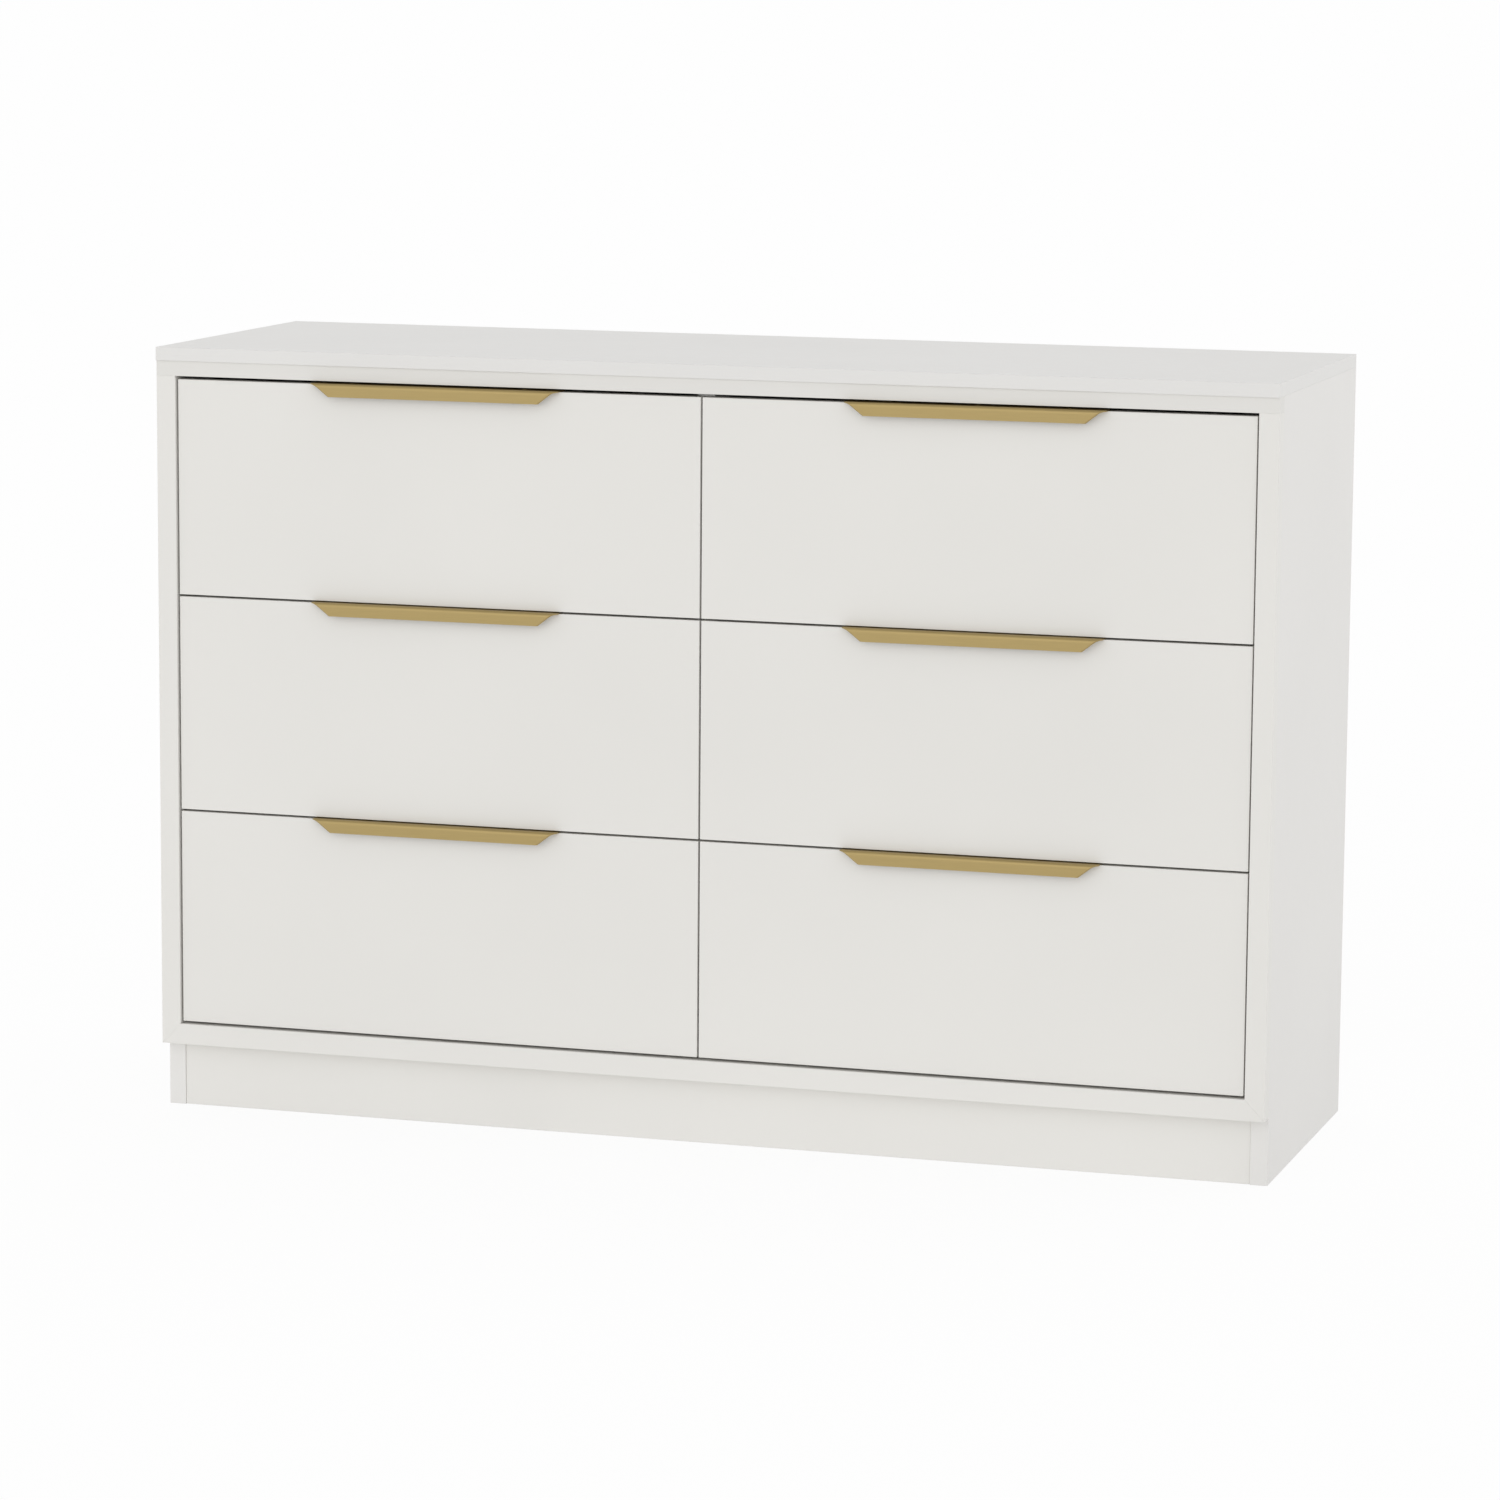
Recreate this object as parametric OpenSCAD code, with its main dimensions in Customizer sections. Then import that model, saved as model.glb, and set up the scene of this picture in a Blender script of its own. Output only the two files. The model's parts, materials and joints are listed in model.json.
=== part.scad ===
// Six-drawer dresser: a panelled carcass behind a face frame, on a recessed plinth,
// with inset drawers on side-mounted ball-bearing slides and folded metal edge pulls.
// Origin: centre of the footprint, on the floor. +X to the right, -Y to the front, +Z up.

/* [Cabinet] */
// Overall width
cabinet_w = 1200; // [900:10:1600]
// Overall depth, from the foremost edge of the pulls or the top to the back
cabinet_d = 400; // [360:5:500]
// Overall height
cabinet_h = 815; // [780:5:1000]
// Thickness of the top panel
top_t = 14; // [12:1:25]
// How far the top panel stands proud of the face frame
top_overhang = 2; // [1:0.5:10]
// Thickness of the side, bottom and divider panels
panel_t = 18; // [18:1:20]
// Thickness of the back panel
back_t = 5; // [3:1:8]

/* [Face frame] */
// Width of the two stiles, seen from the front
stile_w = 21; // [20:1:22]
// Height of the top rail, which is also the thickness of the top stretchers
top_rail_h = 16; // [14:1:24]
// Height of the bottom rail
bottom_rail_h = 22; // [20:1:30]
// Thickness of the frame from front to back
frame_t = 20; // [18:1:24]

/* [Plinth] */
// Height of the plinth, from the floor to the frame
plinth_h = 70; // [50:5:90]
// Thickness of the front and rear plinth boards
plinth_t = 16; // [12:1:18]
// How far the front plinth board is set back from the side panels' front edges
plinth_inset = 1; // [0:0.5:6]

/* [Drawers] */
// Gap at the sides of the drawer fronts
side_gap = 2; // [1.5:0.1:4]
// Gap between two rows of drawer fronts
row_gap = 2.3; // [2:0.1:4]
// Gap above the top row of drawer fronts
top_gap = 3.6; // [2:0.1:4]
// Gap under the bottom row of drawer fronts
bottom_gap = 2.8; // [2:0.1:4]
// How far the drawer fronts are set back behind the face of the frame
front_inset = 3; // [2:0.5:10]
// Thickness of a drawer front
front_t = 16; // [14:1:18]
// Thickness of the drawer box sides and back
box_t = 12; // [10:1:15]
// Height of the drawer box sides
box_h = 150; // [90:5:150]
// Height of the drawer box above the lower edge of its front
box_lift = 22; // [15:1:25]
// Thickness of the drawer bottom
box_bottom_t = 5; // [3:1:6]
// Greatest length of a drawer box behind its front
box_len = 350; // [300:10:400]

/* [Slides] */
// Room for a slide between the cabinet and the drawer box
slide_w = 12.7; // [12:0.1:13]
// Height of the slide's cabinet member
slide_h = 42; // [35:1:46]
// Thickness of the slide's steel
slide_steel = 1.2; // [1:0.1:1.5]

/* [Pulls] */
// Length of a pull along its bend
pull_len = 272; // [160:2:360]
// Height of the pull's lip, from the top of the pull
pull_lip = 13.5; // [12:0.5:25]
// How far the lip stands in front of the drawer front
pull_reach = 11; // [10:0.5:14]
// Angle of the slanted ends, seen from above and from the front
pull_end_angle = 52; // [0:1:60]
// Straight part of each end, in front of the drawer front
pull_end_flat = 7.5; // [1:0.5:8]
// Thickness of the pull's metal
pull_t = 1.2; // [1:0.1:1.6]
// Outside radius of the pull's bend
pull_bend = 4; // [2:0.5:8]

/* [Hidden] */
columns = 2;
rows = 3;
groove = 6;                                  // depth of the grooves that hold a drawer bottom
groove_up = 10;                              // height of a groove above the box's lower edge
slide_play = 1.5;                            // slides stop short of the front and of the box's end by this
slide_centre = 60;                           // height of a slide's centre above the box's lower edge
cam_r = 7.5;                                 // radius of a cam lock
cam_depth = 12.5;                            // depth of a cam lock
cam_in = 34;                                 // distance of a cam lock from the end of its board
stretcher_d = 70;                            // depth of a top stretcher
curve_n = 48;                                // segments of a round

half_w = cabinet_w / 2;                      // outer face of a side panel
front_y = -cabinet_d / 2;                    // foremost edge of the whole piece
back_y = cabinet_d / 2;                      // back of the cabinet
frame_y = front_y + max(top_overhang, pull_reach - front_inset);   // face of the frame
carcass_y = frame_y + frame_t;               // front edges of the side panels
inner_back_y = back_y - back_t;              // front face of the back panel
side_in = half_w - panel_t;                  // inner face of a side panel
open_x = half_w - stile_w;                   // half the width of the frame's opening
under_top = cabinet_h - top_t;               // underside of the top panel
open_top = under_top - top_rail_h;           // underside of the top rail
open_low = plinth_h + bottom_rail_h;         // upper face of the bottom rail and panel

front_y0 = frame_y + front_inset;            // face of a drawer front
front_y1 = front_y0 + front_t;               // back of a drawer front
front_w = (2 * open_x - (columns + 1) * side_gap) / columns;
front_h = (open_top - open_low - top_gap - bottom_gap - (rows - 1) * row_gap) / rows;
bay_w = side_in - panel_t / 2;               // from a side panel to the divider
box_w = bay_w - 2 * slide_w;                 // outside width of a drawer box
divider_y = front_y1 + 1;                    // the divider stays clear of the drawer fronts
box_y1 = min(front_y1 + box_len, inner_back_y - 10);   // rear end of a drawer box

CABINET_NODES = [
    "top_panel", "left_side_panel", "right_side_panel", "centre_divider", "bottom_panel",
    "back_panel", "top_rail", "bottom_rail", "left_stile", "right_stile",
    "front_stretcher", "rear_stretcher", "plinth_board", "rear_plinth_board",
    "cam_locks", "cabinet_slides_left", "cabinet_slides_centre", "cabinet_slides_right"
];
DRAWER_NODES = ["front", "left_side", "right_side", "back", "bottom", "handle", "slides"];

PAINT = [0.89, 0.88, 0.86];
MELAMINE = [0.93, 0.93, 0.92];
HARDBOARD = [0.86, 0.84, 0.80];
GOLD = [0.70, 0.58, 0.34];
STEEL = [0.72, 0.73, 0.75];

// Drawers are numbered along each row from the left, starting with the top row.
function column_of(d) = (d - 1) % columns;
function row_of(d) = floor((d - 1) / columns);
function row_z(row) = open_low + bottom_gap + (rows - 1 - row) * (front_h + row_gap);
function front_x(d) = -open_x + side_gap + column_of(d) * (front_w + side_gap);
function front_z(d) = row_z(row_of(d));
function box_x(d) = column_of(d) == 0 ? -side_in + slide_w : panel_t / 2 + slide_w;
function box_z(d) = front_z(d) + box_lift;
function slide_z(row) = row_z(row) + box_lift + slide_centre;

// A straight board between two opposite corners
module board(low, high) {
    translate(low) cube(high - low);
}

// An outline in X and Z, pushed back from y0 to y1
module front_outline(points, y0, y1) {
    translate([0, y1, 0]) rotate([90, 0, 0]) linear_extrude(y1 - y0) polygon(points);
}

module top_panel() {
    color(PAINT) board([-half_w, frame_y - top_overhang, under_top], [half_w, back_y, cabinet_h]);
}

module side_panel(side) {
    x0 = side < 0 ? -half_w : side_in;
    color(PAINT) board([x0, carcass_y, 0], [x0 + panel_t, back_y, under_top]);
}

module centre_divider() {
    color(MELAMINE)
        board([-panel_t / 2, divider_y, open_low], [panel_t / 2, inner_back_y, open_top]);
}

module bottom_panel() {
    color(MELAMINE) difference() {
        board([-side_in, carcass_y, open_low - panel_t], [side_in, inner_back_y, open_low]);
        cam_set(open_low - panel_t);
    }
}

module back_panel() {
    color(HARDBOARD) board([-side_in, inner_back_y, plinth_h / 2], [side_in, back_y, under_top]);
}

module top_rail() {
    color(PAINT) board([-half_w, frame_y, open_top], [half_w, carcass_y, under_top]);
}

// The lower corners of the frame are mitred.
module bottom_rail() {
    color(PAINT) front_outline([
        [-half_w, plinth_h], [half_w, plinth_h], [open_x, open_low], [-open_x, open_low]
    ], frame_y, carcass_y);
}

module stile(side) {
    color(PAINT) front_outline([
        [side * half_w, plinth_h], [side * open_x, open_low],
        [side * open_x, open_top], [side * half_w, open_top]
    ], frame_y, carcass_y);
}

module stretcher(y0) {
    color(MELAMINE) difference() {
        board([-side_in, y0, open_top], [side_in, y0 + stretcher_d, under_top]);
        cam_row(y0 + stretcher_d / 2, open_top);
    }
}

module plinth_board() {
    y0 = carcass_y + plinth_inset;
    color(PAINT) board([-side_in, y0, 0], [side_in, y0 + plinth_t, open_low - panel_t]);
}

module rear_plinth_board() {
    y0 = inner_back_y - plinth_t;
    color(PAINT) board([-side_in, y0, 0], [side_in, inner_back_y, open_low - panel_t]);
}

// Two cam locks let into the underside of a board, one near each end
module cam_row(y, z) {
    for (side = [-1, 1])
        translate([side * (side_in - cam_in), y, z]) cylinder(h = cam_depth, r = cam_r, $fn = curve_n);
}

module cam_set(z) {
    cam_row(carcass_y + plinth_t + 40, z);
    cam_row(inner_back_y - plinth_t - 40, z);
}

module cam_locks() {
    color(STEEL) {
        cam_set(open_low - panel_t);
        cam_row(carcass_y + stretcher_d / 2, open_top);
        cam_row(inner_back_y - stretcher_d / 2, open_top);
    }
}

// The cabinet member of a slide: a lipped channel, from its web at 0 towards the drawer
module cabinet_member() {
    s = slide_steel;
    h = slide_h / 2;
    w = 0.7 * slide_w;
    lip = 3.4;
    polygon([
        [0, -h], [w, -h], [w, -h + lip], [w - s, -h + lip], [w - s, -h + s], [s, -h + s],
        [s, h - s], [w - s, h - s], [w - s, h - lip], [w, h - lip], [w, h], [0, h]
    ]);
}

// The drawer member: a plain channel, from its web at the drawer box towards the cabinet
module drawer_member() {
    s = slide_steel;
    h = 0.31 * slide_h;
    w = slide_w;
    d = 0.6 * slide_w;
    polygon([
        [w, -h], [w - d, -h], [w - d, -h + s], [w - s, -h + s],
        [w - s, h - s], [w - d, h - s], [w - d, h], [w, h]
    ]);
}

// Sets a slide profile upright at x, facing right (1) or left (-1), over the drawer's length
module slide_at(x, facing, z) {
    y0 = front_y1 + slide_play;
    y1 = box_y1 - slide_play;
    translate([x, y1, z]) mirror([facing < 0 ? 1 : 0, 0, 0])
        rotate([90, 0, 0]) linear_extrude(y1 - y0) children();
}

module cabinet_slides(x, facing) {
    color(STEEL) for (row = [0 : rows - 1]) slide_at(x, facing, slide_z(row)) cabinet_member();
}

module cabinet_slides_centre() {
    cabinet_slides(-panel_t / 2, -1);
    cabinet_slides(panel_t / 2, 1);
}

module drawer_slides(d) {
    z = slide_z(row_of(d));
    color(STEEL) {
        slide_at(box_x(d) - slide_w, 1, z) drawer_member();
        slide_at(box_x(d) + box_w + slide_w, -1, z) drawer_member();
    }
}

// The room that a drawer bottom takes, with the grooves round it
module bottom_room(d) {
    z0 = box_z(d) + groove_up;
    board(
        [box_x(d) + box_t - groove, front_y1 - groove, z0],
        [box_x(d) + box_w - box_t + groove, box_y1, z0 + box_bottom_t]
    );
}

module drawer_front(d) {
    color(PAINT) difference() {
        board(
            [front_x(d), front_y0, front_z(d)],
            [front_x(d) + front_w, front_y1, front_z(d) + front_h]
        );
        bottom_room(d);
    }
}

module drawer_side(d, side) {
    x0 = side < 0 ? box_x(d) : box_x(d) + box_w - box_t;
    color(MELAMINE) difference() {
        board([x0, front_y1, box_z(d)], [x0 + box_t, box_y1, box_z(d) + box_h]);
        bottom_room(d);
    }
}

// The back stands on the bottom, which slides in under it.
module drawer_back(d) {
    x0 = box_x(d) + box_t;
    color(MELAMINE) board(
        [x0, box_y1 - box_t, box_z(d) + groove_up + box_bottom_t],
        [x0 + box_w - 2 * box_t, box_y1, box_z(d) + box_h]
    );
}

module drawer_bottom(d) {
    color(MELAMINE) bottom_room(d);
}

// Section of a pull: a flange over the front's top edge, a round bend, and a lip
module pull_section() {
    reach = front_t + pull_reach;
    inner = pull_bend - pull_t;
    difference() {
        union() {
            translate([pull_bend, -pull_t]) square([reach - pull_bend, pull_t]);
            translate([0, -pull_lip]) square([pull_t, pull_lip - pull_bend]);
            intersection() {
                translate([pull_bend, -pull_bend]) circle(r = pull_bend, $fn = curve_n);
                translate([0, -pull_bend]) square(pull_bend);
            }
        }
        translate([pull_bend, -pull_bend]) circle(r = inner, $fn = curve_n);
    }
}

// A block whose slanted face trims one end of the bend and of the lip
module pull_end_cut(side) {
    size = 4 * pull_lip;
    translate([side * pull_len / 2, pull_reach - pull_end_flat, 0]) mirror([side < 0 ? 1 : 0, 0, 0])
        rotate([0, atan(sin(pull_end_angle)), -pull_end_angle])
            translate([0, -size / 2, -size / 2]) cube(size);
}

module drawer_handle(d) {
    x = front_x(d) + front_w / 2;
    y = front_y0 - pull_reach;
    z = front_z(d) + front_h + pull_t;
    color(GOLD) translate([x, y, z]) difference() {
        translate([-pull_len / 2, 0, 0]) rotate([90, 0, 90]) linear_extrude(pull_len) pull_section();
        pull_end_cut(-1);
        pull_end_cut(1);
    }
}

top_panel();
side_panel(-1);  // left_side_panel
side_panel(1);  // right_side_panel
centre_divider();
bottom_panel();
back_panel();
top_rail();
bottom_rail();
stile(-1);  // left_stile
stile(1);  // right_stile
stretcher(carcass_y);  // front_stretcher
stretcher(inner_back_y - stretcher_d);  // rear_stretcher
plinth_board();
rear_plinth_board();
cam_locks();
cabinet_slides(-side_in, 1);  // cabinet_slides_left
cabinet_slides_centre();
cabinet_slides(side_in, -1);  // cabinet_slides_right
for (d = [1 : rows * columns]) {
    drawer_front(d);
    drawer_side(d, -1);
    drawer_side(d, 1);
    drawer_back(d);
    drawer_bottom(d);
    drawer_handle(d);
    drawer_slides(d);
}
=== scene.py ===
"""Looks for the six-drawer dresser: white lacquer, gold pulls, slides and fittings, in a white studio."""
import json
import math

import bmesh
import bpy
from mathutils import Matrix, Vector


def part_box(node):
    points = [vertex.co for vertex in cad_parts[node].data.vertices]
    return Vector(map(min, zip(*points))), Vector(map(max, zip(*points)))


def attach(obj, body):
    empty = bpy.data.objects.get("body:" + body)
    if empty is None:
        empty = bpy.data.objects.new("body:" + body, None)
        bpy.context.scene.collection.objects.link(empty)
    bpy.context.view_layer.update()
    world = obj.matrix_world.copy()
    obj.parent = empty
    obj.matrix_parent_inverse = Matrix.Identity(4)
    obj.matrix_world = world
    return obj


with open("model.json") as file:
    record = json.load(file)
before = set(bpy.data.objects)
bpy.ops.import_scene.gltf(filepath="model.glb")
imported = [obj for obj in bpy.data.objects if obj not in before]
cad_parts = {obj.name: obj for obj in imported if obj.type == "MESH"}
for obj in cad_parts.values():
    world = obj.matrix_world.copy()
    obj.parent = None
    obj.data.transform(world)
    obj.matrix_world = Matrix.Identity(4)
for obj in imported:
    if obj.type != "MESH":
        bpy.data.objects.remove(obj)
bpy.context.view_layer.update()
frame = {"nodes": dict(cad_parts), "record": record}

MM = 0.001
DRAWERS = range(1, 7)

# ---------------------------------------------------------------- camera
FRAME_PX = 1500
FOCAL_PX = 5466
CAMERA_AT = (1.6838, -5.4891, 1.2722)
CAMERA_YAW, CAMERA_PITCH, CAMERA_ROLL = 17.089, 8.732, -0.428

# ---------------------------------------------------------------- light
SKY_LEVEL = 0.982
# Each patch of the sky: its direction, where it begins and is full (cosines), and its change.
SKY_PATCHES = (
    ((0, -0.6, 0.8), 0.25, 0.95, -0.50),     # overhead and in front: dimmer
    ((0, 0.6, 0.8), 0.45, 0.95, 0.04),       # overhead and behind
    ((0, -1, 0), 0.35, 0.95, 0.83),          # a broad light in front
    ((1, 0, 0), 0.20, 0.95, 0.19),           # and from the right
)
FLOOR_GLOW, FLOOR_ALBEDO = 0.866, 0.14
FLOOR_TO_OBJECT = 0.875        # the share of the floor's glow that lights other things
FLOOR_BESIDE = 0.76            # and the dimmer share of the strip beside the right side panel: painted shade on that panel's lower part
STRIP_FROM, STRIP_TO = 0.55, 1.65
FLOOR_REACH = 150

# ---------------------------------------------------------------- colours (linear)
LACQUER = (0.770, 0.757, 0.724)
# The side panels' lacquer a little cooler: painted light, standing in for the cool light from the right.
LACQUER_SIDE_PAINTED_LIGHT = (0.770, 0.758, 0.735)
# The top panel's lacquer made darker: painted shade on the top and its front edge.
LACQUER_TOP_PAINTED_SHADE = (0.751, 0.742, 0.723)
# The top rail's lacquer made darker: painted shade under the top panel's overhang.
LACQUER_RAIL_PAINTED_SHADE = (0.736, 0.724, 0.693)
MELAMINE = (0.770, 0.765, 0.745)
HARDBOARD = (0.700, 0.690, 0.660)
GOLD = (0.437, 0.331, 0.146)
ZINC = (0.560, 0.570, 0.590)
NYLON = (0.030, 0.030, 0.033)

# ---------------------------------------------------------------- slides (millimetres from the web)
BALL_R = 2.6
BALL_OUT, BALL_UP = 5.0, 16.0
BALLS_PER_ROW = 5
CAGE_START, CAGE_LEN = 4, 78   # along the slide, from its front end
CAGE_SHAPE = (
    (2.0, -16.2), (7.0, -16.2), (7.0, -15.8), (2.5, -15.8),
    (2.5, 15.8), (7.0, 15.8), (7.0, 16.2), (2.0, 16.2),
)
CABINET_HEADS, DRAWER_HEADS = 1.2, 11.5   # where the screws' heads stand on each member

# ---------------------------------------------------------------- fixings (millimetres)
SCREW_R, SLIDE_SCREW_HIGH, BOX_SCREW_HIGH = 3.4, 1.5, 0.7
CAM_R, CAM_HIGH, CAM_IN, CAM_UPS = 7.5, 0.5, 34, (38, 112)
BACK_SCREW_IN, BACK_SCREW_UPS = 6, (26, 128)
PULL_SCREW_R, PULL_SCREW_HIGH, PULL_SCREW_ACROSS = 3.0, 0.35, (-95, 0, 95)


class Nodes:
    """A short way to wire a material's nodes."""

    def __init__(self, name):
        self.material = bpy.data.materials.new(name)
        self.material.use_nodes = True
        self.tree = self.material.node_tree
        self.shader = self.tree.nodes["Principled BSDF"]
        self.place = self.add("ShaderNodeTexCoord").outputs["Object"]

    def add(self, kind, **values):
        node = self.tree.nodes.new(kind)
        for key, value in values.items():
            setattr(node, key, value)
        return node

    def link(self, out, into):
        self.tree.links.new(out, into)

    def stretched(self, scale):
        node = self.add("ShaderNodeMapping")
        node.inputs["Scale"].default_value = scale
        self.link(self.place, node.inputs["Vector"])
        return node.outputs["Vector"]

    def noise(self, scale, detail=2.0, stretch=(1, 1, 1)):
        node = self.add("ShaderNodeTexNoise")
        node.inputs["Scale"].default_value = scale
        node.inputs["Detail"].default_value = detail
        self.link(self.stretched(stretch), node.inputs["Vector"])
        return node.outputs["Fac"]

    def ramp(self, fac, low, high, start=0.3, end=0.7):
        node = self.add("ShaderNodeValToRGB")
        node.color_ramp.elements[0].position = start
        node.color_ramp.elements[1].position = end
        node.color_ramp.elements[0].color = (*low, 1)
        node.color_ramp.elements[1].color = (*high, 1)
        self.link(fac, node.inputs["Fac"])
        return node.outputs["Color"]

    def span(self, fac, low, high):
        node = self.add("ShaderNodeMapRange")
        node.inputs["To Min"].default_value = low
        node.inputs["To Max"].default_value = high
        self.link(fac, node.inputs["Value"])
        return node.outputs["Result"]

    def bump(self, height, depth, strength=1.0):
        node = self.add("ShaderNodeBump")
        node.inputs["Strength"].default_value = strength
        node.inputs["Distance"].default_value = depth
        self.link(height, node.inputs["Height"])
        self.link(node.outputs["Normal"], self.shader.inputs["Normal"])


def shade(colour, share):
    return tuple(c * share for c in colour)


def painted(name, colour, rough, peel, grain=650.0):
    """Sprayed or pressed board: an even colour with a faint drift, and a fine skin texture."""
    n = Nodes(name)
    drift = n.noise(3.0, 3.0)
    n.link(n.ramp(drift, shade(colour, 0.985), shade(colour, 1.01)), n.shader.inputs["Base Color"])
    n.link(n.span(n.noise(60.0, 3.0), rough - 0.05, rough + 0.05), n.shader.inputs["Roughness"])
    n.bump(n.noise(grain, 2.0), peel, 0.35)
    return n.material


def metal(name, colour, low, high, stretch, scale, rough, depth):
    """Metal with a drawn or rolled grain along the axis where stretch is small."""
    n = Nodes(name)
    n.shader.inputs["Metallic"].default_value = 1.0
    grain = n.noise(scale, 3.0, stretch=stretch)
    n.link(n.ramp(grain, shade(colour, low), shade(colour, high)), n.shader.inputs["Base Color"])
    n.link(n.span(grain, *rough), n.shader.inputs["Roughness"])
    n.bump(grain, depth, 0.35)
    return n.material


MATERIALS = {
    "white_lacquer": painted("white_lacquer", LACQUER, 0.46, 0.00003),
    # Copies of the lacquer that carry painted light: cooler on the side panels, painted shade on the top
    # panel and the top rail.
    "lacquer_side_painted_light": painted("lacquer_side_painted_light", LACQUER_SIDE_PAINTED_LIGHT, 0.46, 0.00003),
    "lacquer_top_painted_shade": painted("lacquer_top_painted_shade", LACQUER_TOP_PAINTED_SHADE, 0.46, 0.00003),
    "lacquer_rail_painted_shade": painted("lacquer_rail_painted_shade", LACQUER_RAIL_PAINTED_SHADE, 0.46, 0.00003),
    "melamine": painted("melamine", MELAMINE, 0.40, 0.00005),
    "hardboard": painted("hardboard", HARDBOARD, 0.62, 0.00008, 380.0),
    "gold_metal": metal("satin_gold", GOLD, 0.96, 1.04, (0.03, 1, 1), 900.0, (0.36, 0.50), 0.00001),
    "zinc_steel": metal("zinc_steel", ZINC, 0.90, 1.08, (1, 0.05, 1), 400.0, (0.24, 0.40), 0.00001),
    "ball_steel": metal("ball_steel", ZINC, 0.97, 1.06, (1, 1, 1), 300.0, (0.10, 0.16), 0.000002),
    "nylon": painted("nylon", NYLON, 0.45, 0.00002),
}


def soften(obj, width, segments=2):
    """Rounds a node's hard edges a little. The weld joins the corners that the import split."""
    weld = obj.modifiers.new("weld", "WELD")
    weld.merge_threshold = 0.00001
    bevel = obj.modifiers.new("bevel", "BEVEL")
    bevel.width = width
    bevel.segments = segments
    bevel.limit_method = "ANGLE"
    bevel.angle_limit = math.radians(40)
    bevel.use_clamp_overlap = True
    bevel.harden_normals = True


EDGE = {
    "white_lacquer": 0.4 * MM, "melamine": 0.4 * MM, "hardboard": 0.3 * MM,
    "gold_metal": 0.25 * MM, "zinc_steel": 0.2 * MM,
}
# The carcass is glued up tight, so its seams hardly show. The plinth board has wider arrises.
SEAM = {
    "top_panel": 0.25 * MM, "left_side_panel": 0.08 * MM, "right_side_panel": 0.08 * MM,
    "top_rail": 0.20 * MM, "bottom_rail": 0.24 * MM, "left_stile": 0.24 * MM, "right_stile": 0.24 * MM,
    "plinth_board": 1.20 * MM,
}
# Boards that take a lit or shaded copy of the lacquer: painted shade on the top panel and the top rail,
# painted cooler light on the side panels.
PAINTED_LIGHT_BOARDS = {
    "top_panel": "lacquer_top_painted_shade", "top_rail": "lacquer_rail_painted_shade",
    "left_side_panel": "lacquer_side_painted_light", "right_side_panel": "lacquer_side_painted_light",
}


def dress_nodes():
    """Gives every CAD node its material and its softened edges."""
    for part in frame["record"]["subparts"]:
        node, slot = part["node"], part["material_slot"]
        obj = frame["nodes"][node]
        obj.data.materials.clear()
        # Some boards take a copy of the lacquer with painted shade or painted light.
        obj.data.materials.append(MATERIALS[PAINTED_LIGHT_BOARDS.get(node, slot)])
        soften(obj, SEAM.get(node, EDGE[slot]))


# ---------------------------------------------------------------- small pieces
def skin(bm, low, high):
    """Quads between two closed loops of the same number of corners."""
    for i in range(len(low)):
        j = (i + 1) % len(low)
        bm.faces.new((low[i], low[j], high[j], high[i]))


def standing(at, axis):
    """Places something drawn along +Z at a point, along an axis."""
    turn = Vector((0, 0, 1)).rotation_difference(Vector(axis)).to_matrix().to_4x4()
    return Matrix.Translation(at) @ turn


def ring(bm, place, radius, height, count):
    turns = [2 * math.pi * i / count for i in range(count)]
    return [bm.verts.new(place @ Vector((radius * math.cos(t), radius * math.sin(t), height))) for t in turns]


def screw_head(bm, at, axis, radius, height, count=20):
    """A domed head with a cross recess, standing on a surface. It reaches a little below it."""
    place = standing(at, axis)
    foot = ring(bm, place, radius, -0.1 * MM, count)
    edge = ring(bm, place, radius, 0.45 * height, count)
    brow = ring(bm, place, 0.72 * radius, height, count)
    skin(bm, foot, edge)
    skin(bm, edge, brow)
    a, w = 0.52 * radius, 0.13 * radius
    cross = [
        (a, -w), (a, w), (w, w), (w, a), (-w, a), (-w, w),
        (-a, w), (-a, -w), (-w, -w), (-w, -a), (w, -a), (w, -w),
    ]
    mouth = [bm.verts.new(place @ Vector((x, y, height))) for x, y in cross]
    pit = [bm.verts.new(place @ Vector((0.8 * x, 0.8 * y, 0.35 * height))) for x, y in cross]
    skin(bm, mouth, pit)
    bm.faces.new(pit)
    bm.faces.new(foot)
    rims = []
    for loop in (brow, mouth):
        for i in range(len(loop)):
            rims.append(bm.edges.get((loop[i], loop[(i + 1) % len(loop)])))
    bmesh.ops.triangle_fill(bm, edges=rims, use_beauty=True)


def ball(bm, at, radius, rings=7, count=12):
    place = Matrix.Translation(at)
    loops = []
    for i in range(1, rings):
        t = math.pi * i / rings
        loops.append(ring(bm, place, radius * math.sin(t), radius * math.cos(t), count))
    for low, high in zip(loops, loops[1:]):
        skin(bm, low, high)
    bm.faces.new(loops[0])
    bm.faces.new(loops[-1])


def strip(bm, outline, y0, y1):
    """A closed outline in X and Z, drawn from y0 to y1."""
    near = [bm.verts.new((x, y0, z)) for x, z in outline]
    far = [bm.verts.new((x, y1, z)) for x, z in outline]
    skin(bm, near, far)
    bm.faces.new(near)
    bm.faces.new(far)


def piece(name, bm, material, body, smooth=False):
    """Turns a bmesh into a piece that rides on a body."""
    bmesh.ops.recalc_face_normals(bm, faces=bm.faces)
    mesh = bpy.data.meshes.new(name)
    bm.to_mesh(mesh)
    bm.free()
    mesh.materials.append(MATERIALS[material])
    for face in mesh.polygons:
        face.use_smooth = smooth
    obj = bpy.data.objects.new(name, mesh)
    bpy.context.scene.collection.objects.link(obj)
    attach(obj, body)
    return obj


def slide_webs(drawer):
    """For each of a drawer's two slides: the cabinet member's web, and which way it faces."""
    low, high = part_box(f"drawer_{drawer}_slides")
    return low, high, ((low[0], 1), (high[0], -1))


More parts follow.
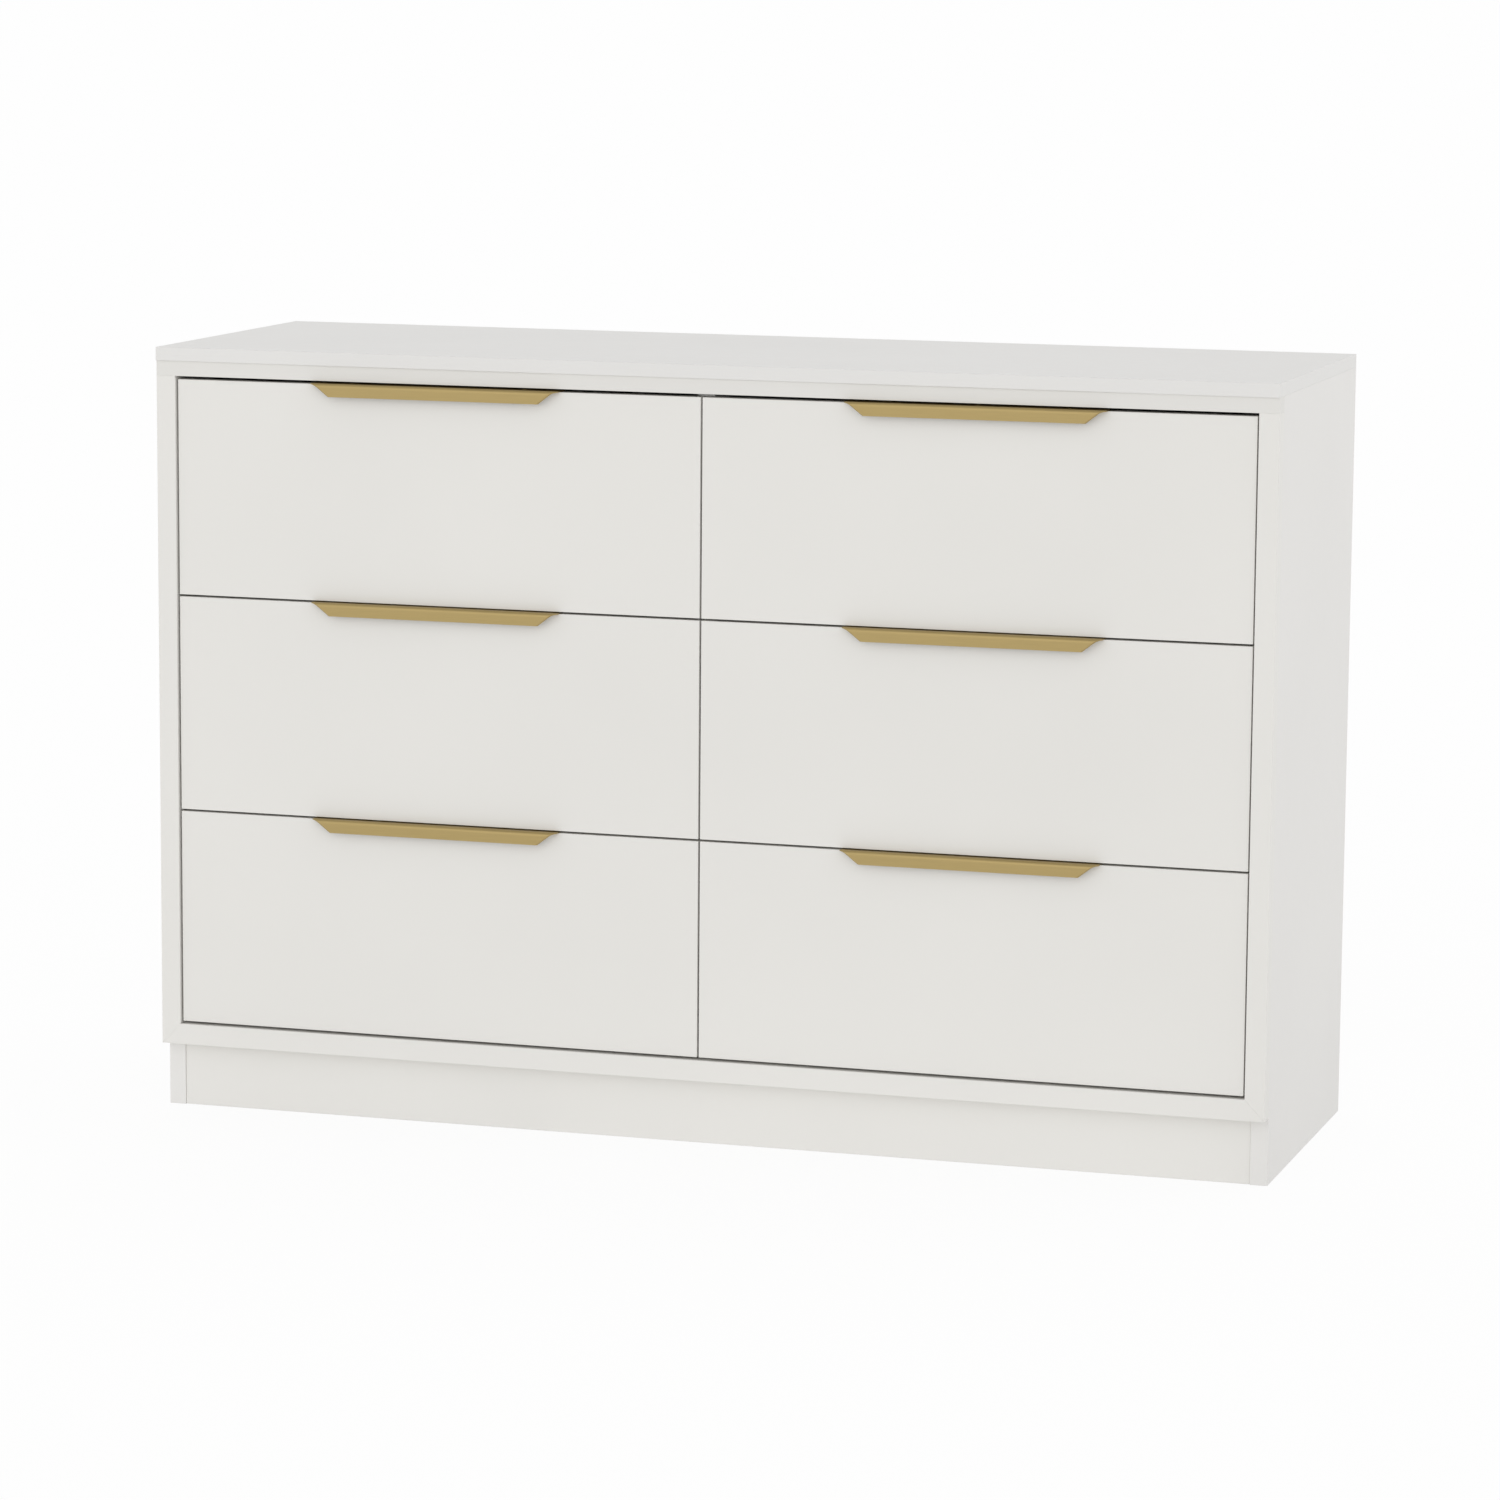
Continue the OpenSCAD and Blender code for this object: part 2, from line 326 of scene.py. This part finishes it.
def slide_details(drawer):
    """Ball cages that stay where both members overlap, and the screws that hold each member."""
    low, high, webs = slide_webs(drawer)
    middle = (low[2] + high[2]) / 2
    cages, balls, fixed, moving = (bmesh.new() for _ in range(4))
    y0 = low[1] + CAGE_START * MM
    y1 = y0 + CAGE_LEN * MM
    steps = [y0 + (0.1 + 0.8 * i / (BALLS_PER_ROW - 1)) * (y1 - y0) for i in range(BALLS_PER_ROW)]
    for web, way in webs:
        strip(cages, [(web + way * x * MM, middle + z * MM) for x, z in CAGE_SHAPE], y0, y1)
        for y in steps:
            for up in (-1, 1):
                ball(balls, (web + way * BALL_OUT * MM, y, middle + up * BALL_UP * MM), BALL_R * MM)
        for y in (y1 + 30 * MM, (y1 + high[1]) / 2, high[1] - 20 * MM):
            at = (web + way * CABINET_HEADS * MM, y, middle)
            screw_head(fixed, at, (way, 0, 0), SCREW_R * MM, SLIDE_SCREW_HIGH * MM)
        for y in (low[1] + 22 * MM, (low[1] + high[1]) / 2, high[1] - 35 * MM):
            at = (web + way * DRAWER_HEADS * MM, y, middle)
            screw_head(moving, at, (-way, 0, 0), SCREW_R * MM, SLIDE_SCREW_HIGH * MM)
    piece(f"drawer_{drawer}_ball_cages", cages, "nylon", "cabinet")
    piece(f"drawer_{drawer}_balls", balls, "ball_steel", "cabinet", True)
    piece(f"drawer_{drawer}_cabinet_screws", fixed, "zinc_steel", "cabinet")
    piece(f"drawer_{drawer}_member_screws", moving, "zinc_steel", f"drawer_{drawer}")


def box_fixings(drawer):
    """Cam locks inside the drawer's sides, screws into its back, and the pull's own screws."""
    body = f"drawer_{drawer}"
    cams, screws, pull = (bmesh.new() for _ in range(3))
    for side, inward in (("left", 1), ("right", -1)):
        low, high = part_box(f"{body}_{side}_side")
        inner, outer = (high[0], low[0]) if inward > 0 else (low[0], high[0])
        for up in CAM_UPS:
            at = (inner, low[1] + CAM_IN * MM, low[2] + up * MM)
            screw_head(cams, at, (inward, 0, 0), CAM_R * MM, CAM_HIGH * MM, 28)
        for up in BACK_SCREW_UPS:
            at = (outer, high[1] - BACK_SCREW_IN * MM, low[2] + up * MM)
            screw_head(screws, at, (-inward, 0, 0), SCREW_R * MM, BOX_SCREW_HIGH * MM)
    low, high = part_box(f"{body}_front")
    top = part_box(f"{body}_handle")[1][2]
    for across in PULL_SCREW_ACROSS:
        at = ((low[0] + high[0]) / 2 + across * MM, (low[1] + high[1]) / 2, top)
        screw_head(pull, at, (0, 0, 1), PULL_SCREW_R * MM, PULL_SCREW_HIGH * MM)
    piece(f"{body}_cam_locks", cams, "zinc_steel", body)
    piece(f"{body}_back_screws", screws, "zinc_steel", body)
    piece(f"{body}_pull_screws", pull, "gold_metal", body)


# ---------------------------------------------------------------- camera, light and floor
def make_camera():
    data = bpy.data.cameras.new("camera")
    data.sensor_width = 36
    data.lens = FOCAL_PX / FRAME_PX * data.sensor_width
    data.clip_start, data.clip_end = 0.1, 400
    cam = bpy.data.objects.new("camera", data)
    yaw, pitch, roll = (math.radians(a) for a in (CAMERA_YAW, CAMERA_PITCH, CAMERA_ROLL))
    turn = Matrix.Rotation(yaw, 4, "Z") @ Matrix.Rotation(math.pi / 2 - pitch, 4, "X")
    cam.matrix_world = Matrix.Translation(CAMERA_AT) @ turn @ Matrix.Rotation(-roll, 4, "Z")
    bpy.context.scene.collection.objects.link(cam)
    bpy.context.scene.camera = cam


def make_sky():
    """An even white studio with a broad light in front."""
    world = bpy.data.worlds.new("studio")
    bpy.context.scene.world = world
    world.use_nodes = True
    tree = world.node_tree
    back = tree.nodes["Background"]
    back.inputs["Color"].default_value = (1, 1, 1, 1)
    place = tree.nodes.new("ShaderNodeTexCoord")
    level = None
    for direction, start, full, change in SKY_PATCHES:
        toward = tree.nodes.new("ShaderNodeVectorMath")
        toward.operation = "DOT_PRODUCT"
        tree.links.new(place.outputs["Generated"], toward.inputs[0])
        toward.inputs[1].default_value = direction
        ramp = tree.nodes.new("ShaderNodeMapRange")
        ramp.inputs["From Min"].default_value = start
        ramp.inputs["From Max"].default_value = full
        ramp.inputs["To Min"].default_value = 0
        ramp.inputs["To Max"].default_value = change
        tree.links.new(toward.outputs["Value"], ramp.inputs["Value"])
        total = tree.nodes.new("ShaderNodeMath")
        total.operation = "ADD"
        total.inputs[0].default_value = SKY_LEVEL
        if level is not None:
            tree.links.new(level, total.inputs[0])
        tree.links.new(ramp.outputs["Result"], total.inputs[1])
        level = total.outputs["Value"]
    tree.links.new(level, back.inputs["Strength"])


def make_floor():
    """A glowing white floor, which lights the object a little less than it shows."""
    mesh = bpy.data.meshes.new("floor")
    bm = bmesh.new()
    corners = ((-1, -1), (1, -1), (1, 1), (-1, 1))
    bm.faces.new([bm.verts.new((x * FLOOR_REACH, y * FLOOR_REACH, 0)) for x, y in corners])
    bm.to_mesh(mesh)
    bm.free()
    floor = bpy.data.objects.new("floor", mesh)
    bpy.context.scene.collection.objects.link(floor)
    n = Nodes("pale_floor")
    n.shader.inputs["Base Color"].default_value = (FLOOR_ALBEDO,) * 3 + (1,)
    n.shader.inputs["Specular IOR Level"].default_value = 0
    n.shader.inputs["Roughness"].default_value = 1
    seen = n.add("ShaderNodeLightPath").outputs["Is Camera Ray"]
    split = n.add("ShaderNodeSeparateXYZ")
    n.link(n.place, split.inputs["Vector"])
    # The floor glows less in a strip beside the right side panel, for light only: painted shade on the lower
    # part of that panel.
    beside = n.add("ShaderNodeMapRange")
    beside.inputs["From Min"].default_value = STRIP_FROM
    beside.inputs["From Max"].default_value = STRIP_TO
    n.link(split.outputs["X"], beside.inputs["Value"])
    share = n.ramp(beside.outputs["Result"], (FLOOR_TO_OBJECT,) * 3, (FLOOR_TO_OBJECT,) * 3, 0.0, 1.0)
    low = share.node.color_ramp.elements.new(0.05)
    low.color = (FLOOR_BESIDE,) * 3 + (1,)
    mix = n.add("ShaderNodeMix", data_type="RGBA")
    n.link(seen, mix.inputs["Factor"])
    n.link(share, mix.inputs["A"])
    mix.inputs["B"].default_value = (1, 1, 1, 1)
    n.link(mix.outputs["Result"], n.shader.inputs["Emission Color"])
    n.shader.inputs["Emission Strength"].default_value = FLOOR_GLOW
    mesh.materials.append(n.material)


scene = bpy.context.scene
scene.view_settings.view_transform = "Standard"
scene.view_settings.look = "None"
dress_nodes()
for number in DRAWERS:
    slide_details(number)
    box_fixings(number)
make_camera()
make_sky()
make_floor()
